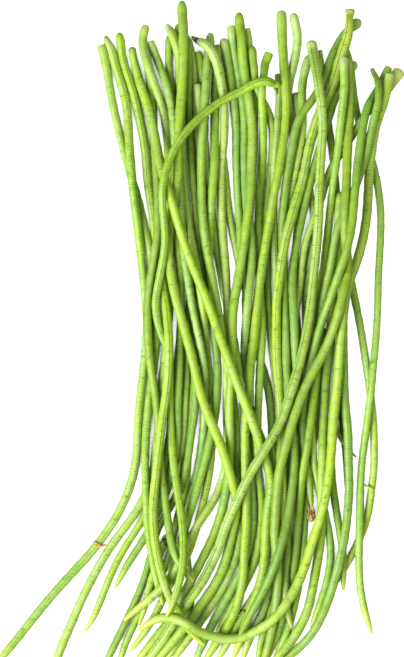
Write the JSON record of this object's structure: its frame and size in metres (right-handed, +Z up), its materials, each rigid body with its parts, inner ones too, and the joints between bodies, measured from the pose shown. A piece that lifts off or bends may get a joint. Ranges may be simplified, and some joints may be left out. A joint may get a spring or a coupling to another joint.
{
  "type": "yardlong bean bunch",
  "caption": "Loose flat-lying bunch of long thin green bean pods, stem ends together at one end, pods curving and crossing over each other, pointed tips fanned out at the other.",
  "frame": {"origin": "centre of the bunch's footprint on the ground, at the height of its lowest point", "axes": "+Y along the bunch towards the stem ends, +X across the bunch with the fanned-out tips on the -X side, +Z straight up from the ground"},
  "size_m": [0.3508, 0.5798, 0.0398],
  "materials": {
    "fresh_pod": "fresh waxy green pod skin, satin",
    "pale_pod": "paler yellow-green pod skin, satin",
    "deep_pod": "deeper green pod skin, satin",
    "dull_pod": "cooler green pod skin with a thin bloom, satin",
    "dried_calyx": "dried papery calyx and stem remnants, dull brown"
  },
  "bodies": {
    "root": {"bean_01": "fresh_pod", "bean_02": "fresh_pod", "bean_03": "fresh_pod", "bean_04": "fresh_pod", "bean_05": "fresh_pod", "bean_06": "fresh_pod", "bean_07": "dull_pod", "bean_08": "pale_pod", "bean_09": "dull_pod", "bean_10": "fresh_pod", "bean_11": "fresh_pod", "bean_12": "deep_pod", "bean_13": "pale_pod", "bean_14": "deep_pod", "bean_15": "fresh_pod", "bean_16": "fresh_pod", "bean_17": "fresh_pod", "bean_18": "dull_pod", "bean_19": "dull_pod", "bean_20": "fresh_pod", "bean_21": "fresh_pod", "bean_22": "deep_pod", "bean_23": "deep_pod", "bean_24": "fresh_pod", "bean_25": "fresh_pod", "bean_26": "fresh_pod", "bean_27": "deep_pod", "bean_28": "deep_pod", "bean_29": "fresh_pod", "bean_30": "deep_pod", "bean_31": "fresh_pod", "bean_32": "deep_pod", "bean_33": "pale_pod", "bean_34": "fresh_pod", "bean_35": "fresh_pod", "bean_36": "fresh_pod", "bean_37": "fresh_pod", "bean_38": "pale_pod", "bean_39": "fresh_pod", "bean_40": "fresh_pod", "bean_41": "fresh_pod", "bean_42": "fresh_pod", "bean_43": "fresh_pod", "bean_44": "pale_pod", "bean_45": "pale_pod", "bean_46": "pale_pod", "bean_47": "deep_pod", "bean_48": "fresh_pod", "bean_49": "fresh_pod", "bean_50": "deep_pod"}
  },
  "joints": []
}
